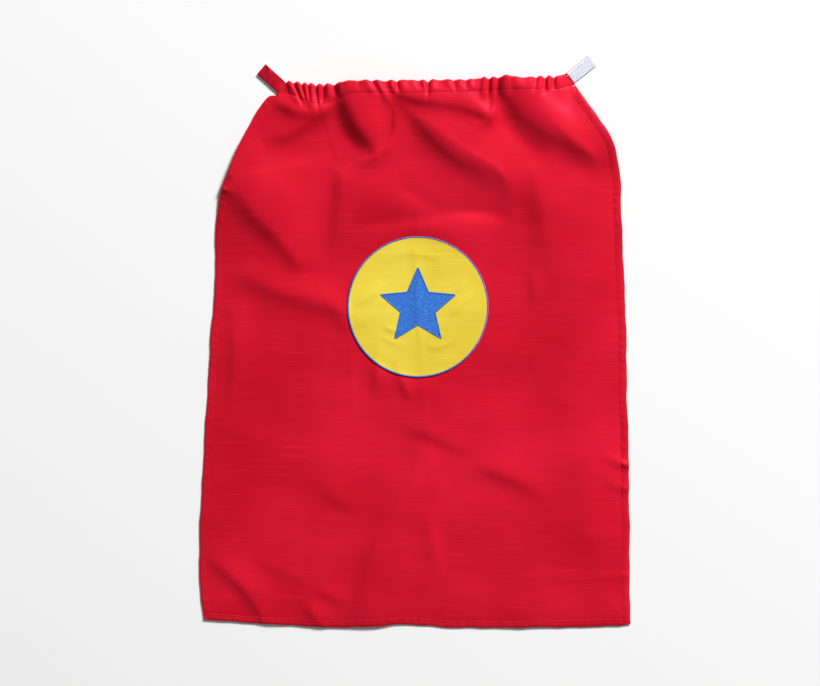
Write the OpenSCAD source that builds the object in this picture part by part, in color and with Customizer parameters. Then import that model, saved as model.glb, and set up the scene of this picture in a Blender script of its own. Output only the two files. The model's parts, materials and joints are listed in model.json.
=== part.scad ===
/* [Cape] */
// Length from the bottom hem to the middle of the neck casing
cape_len = 697; // [450:1:900]
// Width across the bottom hem
hem_w = 554; // [440:1:700]
// Width across the shoulders
shoulder_w = 520; // [430:1:680]
// Height from the bottom hem to where the sides start to curve in
shoulder_h = 516; // [380:1:600]
// Height from the bottom hem to the line where the cape folds up
fold_h = 311; // [150:1:360]
// Thickness of the satin
cloth_t = 0.8; // [0.4:0.1:1.5]

/* [Hems] */
// Width of the turned side hems
side_hem_w = 9; // [6:0.5:16]
// Width of the turned bottom hem
bottom_hem_w = 8; // [6:0.5:20]
// Thickness of a turned and pressed hem
hem_t = 1.6; // [1.2:0.1:3]
// Distance of the hem stitching from the edge
hem_stitch_in = 4.5; // [3:0.1:5]

/* [Neck] */
// Length of the gathered neck, from one tab seam to the other
neck_w = 368; // [250:1:400]
// How far the neck lies to the right of the middle
neck_shift = 12.8; // [0:0.1:20]
// How far the neck is turned, in degrees
neck_tilt = 1.9; // [0:0.1:4]
// Height of the neck casing, from its stitching to its top fold
casing_h = 19; // [18:0.5:32]
// Thickness of the casing across the gathers
gather_t = 11; // [9:0.5:14]
// Depth of the valleys between the gathers
gather_depth = 6; // [2:0.5:6]
// Number of gathers along the casing
gather_count = 26; // [12:1:40]
// Thickness of the flat ends of the casing
casing_end_t = 4; // [3:0.1:4.2]
// Length of each flat end
casing_end_len = 24; // [22:1:40]
// Thickness of the cloth of the casing
casing_cloth_t = 1; // [0.6:0.1:1]
// Width of the elastic
elastic_w = 12; // [6:0.5:14]
// Thickness of the elastic
elastic_t = 1.2; // [0.8:0.1:1.5]

/* [Tabs] */
// Length of each tab beyond its seam
tab_len = 36; // [20:1:60]
// Width of each tab strap
tab_w = 17; // [10:0.5:18]
// Thickness of a tab strap
tab_t = 1; // [0.6:0.1:1.4]
// Angle of the left tab above the neck line, in degrees
left_tab_angle = 43.9; // [20:0.1:50]
// Angle of the right tab above the neck line, in degrees
right_tab_angle = 36.8; // [20:0.1:50]
// Width of the hook tape and of the loop tape
tape_w = 16; // [8:0.5:17]
// Length of the hook tape and of the loop tape
tape_len = 34; // [16:1:58]
// Thickness of the loop tape
loop_tape_t = 1.2; // [0.8:0.1:1.6]
// Thickness of the hook tape
hook_tape_t = 1.4; // [0.8:0.1:1.6]
// Distance of the tape's stitching from its edge
tape_stitch_in = 1.5; // [1:0.1:2.5]

/* [Emblem] */
// Diameter over the embroidered border
emblem_d = 180; // [100:1:200]
// Height of the emblem's centre above the fold line
emblem_rise = 100; // [100:1:120]
// Sideways offset of the emblem
emblem_shift = 2.5; // [-10:0.5:10]
// Width of the embroidered border
border_w = 2; // [1:0.1:5]
// Radius of the embroidered star's points
star_r = 50; // [20:1:56]
// Radius of the notches between the star's points
star_notch_r = 23; // [10:1:30]
// Thickness of the stiffening under the emblem
backing_t = 0.4; // [0.2:0.1:0.8]
// Thickness of the yellow satin patch
patch_t = 0.8; // [0.4:0.1:1.2]
// Height of the embroidery above the patch
embroidery_t = 0.6; // [0.3:0.1:1]

/* [Stitching] */
// Width of a row of stitches
thread_w = 0.7; // [0.4:0.1:1]
// Height of a row of stitches
thread_t = 0.4; // [0.2:0.1:0.5]

/* [Clearances] */
// Gap between the two halves of the cape at the fold line
fold_gap = 0.6; // [0.4:0.1:1]
// Gap between each tab and the end of the casing
tab_gap = 0.5; // [0.4:0.1:1]
// Gap between the elastic and the casing
elastic_gap = 0.2; // [0.1:0.1:0.4]

/* [Hidden] */

satin_red = "#d4172d";
satin_yellow = "#edd54a";
thread_blue = "#3f7cd6";
tape_white = "#e2e7f8";

left = -1;
right = 1;
curve_steps = 16;
gather_steps = 8;

// Directions of the two tabs in the frame of the whole part
function tab_dir(side) =
    side == right ? neck_tilt + right_tab_angle : 180 + neck_tilt - left_tab_angle;
function tab_angle(side) = side == right ? right_tab_angle : left_tab_angle;

// The part's box runs from the hem to the tip of the higher tab, and y = 0 is its middle
function seam_rise(side) = side * neck_w / 2 * sin(neck_tilt);
function tip_h(side) =
    cape_len + seam_rise(side) + tab_len * sin(tab_dir(side)) + tab_w / 2 * abs(cos(tab_dir(side)));
full_h = max(tip_h(left), tip_h(right));
hem_y = -full_h / 2;
fold_y = hem_y + fold_h;
shoulder_y = hem_y + shoulder_h;
neck_y = hem_y + cape_len;
emblem_y = fold_y + emblem_rise;

// A point of the neck: u runs along the casing and v runs up across it
function neck_point(u, v) = [
    neck_shift + u * cos(neck_tilt) - v * sin(neck_tilt),
    neck_y + u * sin(neck_tilt) + v * cos(neck_tilt)
];

// The casing's ends are slanted, square to the tabs that are sewn into them
function casing_end_u(side, v) = side * (neck_w / 2 - v * tan(tab_angle(side)));

// Side edge of the cape, a distance in from its outer edge
neck_inset = 1.3;
function bezier(a, b, c, d, t) =
    pow(1 - t, 3) * a + 3 * t * pow(1 - t, 2) * b + 3 * t * t * (1 - t) * c + pow(t, 3) * d;
function side_x(side, y, inset) =
    side * (hem_w / 2 - inset + (y - hem_y) / shoulder_h * (shoulder_w - hem_w) / 2);
function side_neck(side, inset) =
    neck_point(casing_end_u(side, -casing_h / 2) - side * inset * neck_inset, -casing_h / 2);
function shoulder_curve(side, inset) =
    let (s = [side_x(side, shoulder_y, inset), shoulder_y])
    let (n = side_neck(side, inset))
    let (drop = n.y - s.y)
    let (b = [s.x, s.y + 0.5 * drop])
    let (c = [s.x + 0.64 * (n.x - s.x), n.y - 0.15 * drop])
    [for (i = [0 : curve_steps]) bezier(s, b, c, n, i / curve_steps)];
function reversed(list) = [for (i = [len(list) - 1 : -1 : 0]) list[i]];

// A strip along a side edge above the fold, between two distances from the edge
module upper_strip(side, inset_a, inset_b, thickness) {
    outer = concat([[side_x(side, fold_y, inset_a), fold_y]], shoulder_curve(side, inset_a));
    inner = concat([[side_x(side, fold_y, inset_b), fold_y]], shoulder_curve(side, inset_b));
    linear_extrude(thickness) polygon(concat(outer, reversed(inner)));
}

// The same below the fold, down to the given height
module lower_strip(side, inset_a, inset_b, bottom_y, thickness) {
    top_y = fold_y - fold_gap;
    linear_extrude(thickness) polygon([
        [side_x(side, bottom_y, inset_a), bottom_y],
        [side_x(side, top_y, inset_a), top_y],
        [side_x(side, top_y, inset_b), top_y],
        [side_x(side, bottom_y, inset_b), bottom_y]
    ]);
}

module upper_panel() {
    left_edge = concat([[side_x(left, fold_y, side_hem_w), fold_y]], shoulder_curve(left, side_hem_w));
    right_edge = concat([[side_x(right, fold_y, side_hem_w), fold_y]], shoulder_curve(right, side_hem_w));
    color(satin_red) linear_extrude(cloth_t) polygon(concat(left_edge, reversed(right_edge)));
}

module lower_panel() {
    top_y = fold_y - fold_gap;
    bottom_y = hem_y + bottom_hem_w;
    color(satin_red) linear_extrude(cloth_t) polygon([
        [side_x(left, bottom_y, side_hem_w), bottom_y],
        [side_x(left, top_y, side_hem_w), top_y],
        [side_x(right, top_y, side_hem_w), top_y],
        [side_x(right, bottom_y, side_hem_w), bottom_y]
    ]);
}

module hem_upper(side) {
    color(satin_red) upper_strip(side, 0, side_hem_w, hem_t);
}

module hem_lower(side) {
    color(satin_red) lower_strip(side, 0, side_hem_w, hem_y + bottom_hem_w, hem_t);
}

module bottom_hem() {
    top_y = hem_y + bottom_hem_w;
    color(satin_red) linear_extrude(hem_t) polygon([
        [side_x(left, hem_y, 0), hem_y],
        [side_x(left, top_y, 0), top_y],
        [side_x(right, top_y, 0), top_y],
        [side_x(right, hem_y, 0), hem_y]
    ]);
}

module hem_stitching_upper(side) {
    color(satin_red) translate([0, 0, hem_t])
        upper_strip(side, hem_stitch_in, hem_stitch_in + thread_w, thread_t);
}

module hem_stitching_lower(side) {
    color(satin_red) translate([0, 0, hem_t])
        lower_strip(side, hem_stitch_in, hem_stitch_in + thread_w, hem_y + bottom_hem_w, thread_t);
}

module bottom_hem_stitching() {
    row_len = hem_w - 2 * hem_stitch_in;
    color(satin_red) translate([-row_len / 2, hem_y + hem_stitch_in, hem_t])
        cube([row_len, thread_w, thread_t]);
}

// Stands the frame of the neck in the frame of the whole part
module at_neck() {
    translate([neck_shift, neck_y, 0]) rotate(neck_tilt) children();
}

// Height of the casing's front at u, less a wall: flat ends, and gathers between them
gather_len = neck_w - 2 * casing_end_len;
gather_pitch = gather_len / gather_count;
function gather_z(i, wall) =
    gather_t - wall - gather_depth * (1 + cos(360 * i / gather_steps)) / 2;

module gathered_profile(wall) {
    front = [
        for (i = [0 : gather_count * gather_steps])
            [-gather_len / 2 + i * gather_pitch / gather_steps, gather_z(i, wall)]
    ];
    intersection() {
        polygon(concat([[-gather_len / 2, wall]], front, [[gather_len / 2, wall]]));
        translate([wall - gather_len / 2, 0]) square([gather_len - 2 * wall, gather_t]);
    }
}

module casing_outline() {
    low = -casing_h / 2;
    high = casing_h / 2;
    polygon([
        [casing_end_u(left, low), low],
        [casing_end_u(left, high), high],
        [casing_end_u(right, high), high],
        [casing_end_u(right, low), low]
    ]);
}

// Extrudes a shape drawn in the u-z plane over a height of the casing
module across_casing(height) {
    translate([0, height / 2, 0]) rotate([90, 0, 0]) linear_extrude(height) children();
}

elastic_z = casing_cloth_t + elastic_gap;
elastic_room_w = elastic_w + 2 * elastic_gap;
elastic_room_t = elastic_t + 2 * elastic_gap;
elastic_end = elastic_room_w / 2 * tan(max(left_tab_angle, right_tab_angle)) + 2 * casing_cloth_t;
elastic_room_len = neck_w - 2 * elastic_end;

module neck_casing() {
    color(satin_red) at_neck() difference() {
        union() {
            linear_extrude(casing_end_t) casing_outline();
            across_casing(casing_h) gathered_profile(0);
        }
        across_casing(casing_h - 2 * casing_cloth_t) gathered_profile(casing_cloth_t);
        translate([-elastic_room_len / 2, -elastic_room_w / 2, casing_cloth_t])
            cube([elastic_room_len, elastic_room_w, elastic_room_t]);
    }
}

module neck_elastic() {
    elastic_len = elastic_room_len - 2 * elastic_gap;
    color("white") at_neck() translate([-elastic_len / 2, -elastic_w / 2, elastic_z])
        cube([elastic_len, elastic_w, elastic_t]);
}

// The row lies on the panel, just under the casing
module casing_stitching() {
    row_v = -casing_h / 2 - 2 * thread_w;
    row_a = casing_end_u(left, -casing_h / 2) + 2 * side_hem_w;
    row_b = casing_end_u(right, -casing_h / 2) - 2 * side_hem_w;
    color(satin_red) at_neck() translate([row_a, row_v, cloth_t])
        cube([row_b - row_a, thread_w, thread_t]);
}

patch_r = emblem_d / 2 - border_w;
patch_z = cloth_t + backing_t;
patch_top = patch_z + patch_t;

module at_emblem(z) {
    translate([emblem_shift, emblem_y, z]) children();
}

module emblem_backing() {
    color("white") at_emblem(cloth_t) cylinder(h = backing_t, r = patch_r, $fn = 96);
}

module emblem_patch() {
    color(satin_yellow) at_emblem(patch_z) cylinder(h = patch_t, r = patch_r, $fn = 96);
}

module emblem_border() {
    border_t = backing_t + patch_t + embroidery_t;
    color(thread_blue) at_emblem(cloth_t) difference() {
        cylinder(h = border_t, r = emblem_d / 2, $fn = 96);
        translate([0, 0, -1]) cylinder(h = border_t + 2, r = patch_r, $fn = 96);
    }
}

module emblem_star() {
    points = [
        for (i = [0 : 9])
            let (r = i % 2 == 0 ? star_r : star_notch_r)
            let (a = 90 + 36 * i)
            [r * cos(a), r * sin(a)]
    ];
    color(thread_blue) at_emblem(patch_top) linear_extrude(embroidery_t) polygon(points);
}

// Stands a tab's frame at its seam: x runs out along the tab
module at_tab(side) {
    seam = neck_point(side * neck_w / 2, 0);
    translate([seam.x, seam.y, 0]) rotate(tab_dir(side)) children();
}

module tab_slab(start, length, width, z, thickness) {
    translate([start, -width / 2, z]) cube([length, width, thickness]);
}

// A row of stitches round the tape, inside its edge
module tape_stitching(side, z) {
    color("white") at_tab(side) translate([tape_start, -tape_w / 2, z]) difference() {
        translate([tape_stitch_in, tape_stitch_in, 0]) cube([
            tape_len - 2 * tape_stitch_in,
            tape_w - 2 * tape_stitch_in,
            thread_t
        ]);
        translate([tape_stitch_in + thread_w, tape_stitch_in + thread_w, -thread_t]) cube([
            tape_len - 2 * (tape_stitch_in + thread_w),
            tape_w - 2 * (tape_stitch_in + thread_w),
            3 * thread_t
        ]);
    }
}

strap_len = tab_len - tab_gap;
tape_start = tab_len - tape_len - (tab_w - tape_w) / 2;

module left_tab_strap() {
    color(satin_red) at_tab(left) tab_slab(tab_gap, strap_len, tab_w, loop_tape_t, tab_t);
}

module left_loop_tape() {
    color(tape_white) at_tab(left) tab_slab(tape_start, tape_len, tape_w, 0, loop_tape_t);
}

module left_tape_stitching() {
    tape_stitching(left, loop_tape_t + tab_t);
}

module right_tab_strap() {
    color(satin_red) at_tab(right) tab_slab(tab_gap, strap_len, tab_w, 0, tab_t);
}

// The stitches are drawn down into the hook tape, level with its face
hook_stitch_z = tab_t + hook_tape_t - thread_t;

module right_hook_tape() {
    color(tape_white) difference() {
        at_tab(right) tab_slab(tape_start, tape_len, tape_w, tab_t, hook_tape_t);
        tape_stitching(right, hook_stitch_z);
    }
}

module right_tape_stitching() {
    tape_stitching(right, hook_stitch_z);
}

// Two short rows across the end of the casing hold a tab in its seam
module tab_tack(side) {
    row_gap = 3;
    color(satin_red) at_tab(side) for (i = [1, 2])
        tab_slab(-i * row_gap, thread_w, tab_w - 2 * row_gap, casing_end_t, thread_t);
}

upper_panel();
lower_panel();
hem_upper(left);  // left_hem_upper
hem_lower(left);  // left_hem_lower
hem_upper(right);  // right_hem_upper
hem_lower(right);  // right_hem_lower
bottom_hem();
hem_stitching_upper(left);  // left_hem_stitching_upper
hem_stitching_lower(left);  // left_hem_stitching_lower
hem_stitching_upper(right);  // right_hem_stitching_upper
hem_stitching_lower(right);  // right_hem_stitching_lower
bottom_hem_stitching();
neck_casing();
neck_elastic();
casing_stitching();
emblem_backing();
emblem_patch();
emblem_border();
emblem_star();
left_tab_strap();
left_loop_tape();
left_tape_stitching();
tab_tack(left);  // left_tab_tack
right_tab_strap();
right_hook_tape();
right_tape_stitching();
tab_tack(right);  // right_tab_tack
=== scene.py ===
import json
import math
import bmesh
import bpy
import numpy as np
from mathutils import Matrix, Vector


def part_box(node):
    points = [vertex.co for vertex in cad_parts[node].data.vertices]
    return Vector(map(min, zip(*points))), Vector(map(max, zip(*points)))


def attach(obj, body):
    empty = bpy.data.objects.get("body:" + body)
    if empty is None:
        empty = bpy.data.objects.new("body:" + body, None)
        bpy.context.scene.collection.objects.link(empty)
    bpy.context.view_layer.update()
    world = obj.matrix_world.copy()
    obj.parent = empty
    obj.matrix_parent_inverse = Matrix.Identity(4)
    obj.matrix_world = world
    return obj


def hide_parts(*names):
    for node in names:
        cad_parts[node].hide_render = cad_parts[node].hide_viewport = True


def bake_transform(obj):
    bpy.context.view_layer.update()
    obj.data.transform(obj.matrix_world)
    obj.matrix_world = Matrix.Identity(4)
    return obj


# Lengths are in millimetres until a mesh is made, which turns them to metres. The studio's lamp and
# camera are placed in metres.
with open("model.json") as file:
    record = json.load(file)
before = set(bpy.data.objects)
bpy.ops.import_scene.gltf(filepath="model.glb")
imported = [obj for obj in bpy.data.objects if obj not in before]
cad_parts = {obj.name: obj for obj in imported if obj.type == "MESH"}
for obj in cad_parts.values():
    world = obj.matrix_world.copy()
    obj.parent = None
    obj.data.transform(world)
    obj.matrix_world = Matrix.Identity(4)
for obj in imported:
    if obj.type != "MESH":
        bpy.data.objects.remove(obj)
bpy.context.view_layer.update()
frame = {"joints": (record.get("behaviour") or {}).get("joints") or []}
MM = 0.001


# ---------------------------------------------------------------- studio
# A plain pale floor, a weak even light from all round and one large, soft light from the upper
# right, low enough to show up the folds. The camera looks straight down on the cape.
def linear(hex_colour):
    """An sRGB hex colour as linear RGBA."""
    parts = [int(hex_colour[i : i + 2], 16) / 255 for i in (1, 3, 5)]
    return [c / 12.92 if c <= 0.04045 else ((c + 0.055) / 1.055) ** 2.4 for c in parts] + [1.0]


def new_material(name):
    material = bpy.data.materials.new(name)
    material.use_nodes = True
    return material, material.node_tree, material.node_tree.nodes["Principled BSDF"]


def add_node(tree, kind, settings=None, **links):
    """Adds a node. A setting is an attribute or an input's value, and a link joins an input to an output."""
    node = tree.nodes.new(kind)
    for name, value in (settings or {}).items():
        if isinstance(name, str) and hasattr(node, name):
            setattr(node, name, value)
        else:
            node.inputs[name].default_value = value
    for name, output in links.items():
        key = name.replace("_", " ")
        socket = node.inputs[key] if key in node.inputs else node.inputs[int(name.strip("n"))]
        tree.links.new(output, socket)
    return node


def mesh_object(name, points, faces=(), edges=()):
    """A smooth mesh object at the origin, from points in millimetres."""
    mesh = bpy.data.meshes.new(name)
    mesh.from_pydata((np.asarray(points, float) * MM).tolist(), list(edges), list(faces))
    mesh.validate()
    if faces:
        mesh.shade_smooth()
    piece = bpy.data.objects.new(name, mesh)
    bpy.context.scene.collection.objects.link(piece)
    return piece


FLOOR_HALF = 3000
FLOOR_Z = -0.3  # a little under the cape, so that the two don't lie in one plane
floor_corners = [(-1, -1), (1, -1), (1, 1), (-1, 1)]
floor = mesh_object(
    "floor", [(x * FLOOR_HALF, y * FLOOR_HALF, FLOOR_Z) for x, y in floor_corners], [(0, 1, 2, 3)]
)
floor_paint, _, floor_shader = new_material("matt white board")
floor_shader.inputs["Base Color"].default_value = linear("#FAFAFA")
floor_shader.inputs["Roughness"].default_value = 0.9
floor_shader.inputs["Specular IOR Level"].default_value = 0.1
floor.data.materials.append(floor_paint)

lamp = bpy.data.lights.new("window_light", "AREA")
lamp.shape = "DISK"
lamp.size = 3.0
lamp.energy = 1840
window_light = bpy.data.objects.new("window_light", lamp)
window_light.location = (5.4, 7.6, 5.5)
window_light.rotation_euler = (-window_light.location).to_track_quat("-Z", "Y").to_euler()
bpy.context.scene.collection.objects.link(window_light)
world = bpy.data.worlds.new("studio")
world.use_nodes = True
world.node_tree.nodes["Background"].inputs["Color"].default_value = linear("#FFFFFF")
world.node_tree.nodes["Background"].inputs["Strength"].default_value = 0.19
bpy.context.scene.world = world
bpy.context.scene.view_settings.view_transform = "Standard"

CAMERA_HEIGHT = 2.5
VIEW_WIDTH = 1.05
lens = bpy.data.cameras.new("camera")
lens.lens = lens.sensor_width * CAMERA_HEIGHT / VIEW_WIDTH
camera = bpy.data.objects.new("camera", lens)
camera.location = (-0.0077, -0.0013, CAMERA_HEIGHT)
bpy.context.scene.collection.objects.link(camera)
bpy.context.scene.camera = camera


# ---------------------------------------------------------------- satin sheet
# One piece of polyester satin, cut as a rectangle and gathered along its top into the neck
# casing, so that it lies in folds that run down and out from the neck. The cloth's height over
# the floor is a function of its place, and everything that is sewn to it reads that height.
def mm(vector):
    """A place from the frame, in millimetres."""
    return np.array(vector[:], float) / MM


joints = {j["name"]: j for j in frame["joints"]}
left_seam = mm(joints["left_tab_fold"]["pos_m"])
right_seam = mm(joints["right_tab_fold"]["pos_m"])
hem_low, hem_high = mm(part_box("bottom_hem")[0]), mm(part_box("bottom_hem")[1])
CASING_H = 18.0
CUT_WIDTH = 560.0
CUT_LENGTH = 720.0
CLOTH_T = 0.8

neck_mid = (left_seam + right_seam)[:2] / 2
neck_dir = (right_seam - left_seam)[:2]
neck_half = np.linalg.norm(neck_dir) / 2
neck_dir = neck_dir / np.linalg.norm(neck_dir)
neck_up = np.array([-neck_dir[1], neck_dir[0]])


def tab_way(name):
    """The direction that a tab points in, from its hinge's axis."""
    axis = np.array(joints[name]["axis"])
    return np.array([-axis[1], axis[0]])


left_way = tab_way("left_tab_fold")
right_way = tab_way("right_tab_fold")

# The casing sags between the tabs: place along the neck, and how far it lies below a straight line.
NECK_LINE = [
    (-186, 0), (-172, 1.0), (-156, 4.6), (-138, 7.2), (-120, 6.4), (-98, 2.6), (-70, 3.2), (-30, 4.6),
    (10, 5.6), (46, 6.0), (80, 4.4), (106, 4.0), (126, 6.0), (150, 6.4), (168, 5.6), (178, 2.4), (188, 0),
]


def neck_sag(u):
    """How far the casing lies below the straight line, at u along the neck."""
    return np.interp(u, *zip(*NECK_LINE))


def neck_point(u, v):
    """u runs along the neck from its middle, v across the casing."""
    u, v = np.broadcast_arrays(u, v)
    return neck_mid + u[..., None] * neck_dir + (v - neck_sag(u))[..., None] * neck_up


def to_neck(x, y):
    """u along the neck and v across the casing, of points in plan."""
    offset_x, offset_y = x - neck_mid[0], y - neck_mid[1]
    u = offset_x * neck_dir[0] + offset_y * neck_dir[1]
    v = offset_x * neck_up[0] + offset_y * neck_up[1] + neck_sag(u)
    return u, v


def casing_end(side, v):
    """u of the casing's slanted end at v."""
    way = right_way if side > 0 else left_way
    return side * neck_half - v * (way @ neck_up) / (way @ neck_dir)


def smooth(low, high, value):
    """Eases from 0 at low to 1 at high."""
    t = np.clip((value - low) / (high - low), 0, 1)
    return t * t * (3 - 2 * t)


# The outline of the cloth as it lies, from the bottom corner of each side up to the shoulder.
SIDE_LINES = {
    -1: [(-271, -355), (-277, -300), (-275, -215), (-270, -120), (-263, -5), (-257, 80), (-256, 140),
         (-252, 182), (-240, 219), (-223, 258), (-205, 293), (-190, 313)],
    1: [(274.5, -361), (273.5, -300), (272.5, -170), (270, -60), (268, 50), (264.5, 115), (262.5, 182),
        (260, 219), (250, 258), (231, 289), (215, 311)],
}
BOTTOM_LINE = [(-271, -355), (-240, -357.5), (-187, -361), (-110, -365), (-60, -364.5), (-18, -361.5),
               (60, -365.5), (180, -365), (250, -363.5), (274.5, -361)]
SIDE_POINTS = 400
SIDE_WAVE_H = 0.7
SIDE_WAVE_FADE = 60  # the waves of a side die out over this length at its corners
BOTTOM_WAVE_H = 0.5


def spline(stations, steps=6):
    """A smooth line through the stations, and everything that they carry."""
    knots = np.array(stations, float)
    knots = np.vstack([2 * knots[0] - knots[1], knots, 2 * knots[-1] - knots[-2]])
    t = np.linspace(0, 1, steps, endpoint=False)[:, None]
    runs = []
    for a, b, c, d in zip(knots, knots[1:], knots[2:], knots[3:]):
        square = (2 * a - 5 * b + 4 * c - d) * t**2
        cube = (3 * b - a - 3 * c + d) * t**3
        runs.append(0.5 * (2 * b + (c - a) * t + square + cube))
    runs.append(knots[-2:-1])
    return np.vstack(runs)


def evenly(path, step=0.0, count=0):
    """Evenly spaced points of a path, so many or about a step apart, and how far along it each is."""
    reach = np.concatenate([[0], np.cumsum(np.linalg.norm(np.diff(path, axis=0), axis=1))])
    at = np.linspace(0, reach[-1], count or int(reach[-1] / step) + 1)
    return np.stack([np.interp(at, reach, path[:, i]) for i in range(path.shape[1])], 1), at


def side_edge(side):
    """Points along the outer edge of one side, from the bottom corner to the neck."""
    neck = neck_point(casing_end(side, -CASING_H / 2), -CASING_H / 2)
    edge, at = evenly(spline(SIDE_LINES[side] + [tuple(neck)], 24), count=SIDE_POINTS)
    fade = np.minimum(smooth(0, SIDE_WAVE_FADE, at), 1 - smooth(at[-1] - SIDE_WAVE_FADE, at[-1], at))
    edge[:, 0] += fade * SIDE_WAVE_H * np.sin(at / 41 + 1.3 * side) * np.cos(at / 13)
    return edge


EDGE = {-1: side_edge(-1), 1: side_edge(1)}
bottom_line = spline(BOTTOM_LINE, 40)
bottom_line[:, 1] += BOTTOM_WAVE_H * np.sin(bottom_line[:, 0] / 9.0) * np.sin(bottom_line[:, 0] / 31.0)


def on_sheet(s, t):
    """The place of a point of the cut: s runs from the left edge to the right, t from the hem to the neck."""
    s, t = np.broadcast_arrays(np.asarray(s, float), np.asarray(t, float))
    along = np.linspace(0, 1, SIDE_POINTS)
    ends = [
        np.stack([np.interp(t, along, EDGE[side][:, i]) for i in (0, 1)], -1) for side in (-1, 1)
    ]
    place = ends[0] + (ends[1] - ends[0]) * s[..., None]
    # the lowest rows follow the bottom edge, and the topmost quarter the sag of the neck
    corner_line = EDGE[-1][0, 1] + (EDGE[1][0, 1] - EDGE[-1][0, 1]) * s
    bow = np.interp(place[..., 0], bottom_line[:, 0], bottom_line[:, 1]) - corner_line
    place[..., 1] += bow * np.clip(1 - t, 0, 1) ** 6
    place[..., 1] -= neck_sag((2 * s - 1) * neck_half) * smooth(0.75, 1.0, t)
    return place


def inland(x, y):
    """How far a point is from the nearest side or bottom edge of the cloth."""
    left = x - np.interp(y, EDGE[-1][:, 1], EDGE[-1][:, 0])
    right = np.interp(y, EDGE[1][:, 1], EDGE[1][:, 0]) - x
    below = y - np.interp(x, bottom_line[:, 0], bottom_line[:, 1])
    return np.clip(np.minimum(np.minimum(left, right), below), 0, None)


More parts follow.
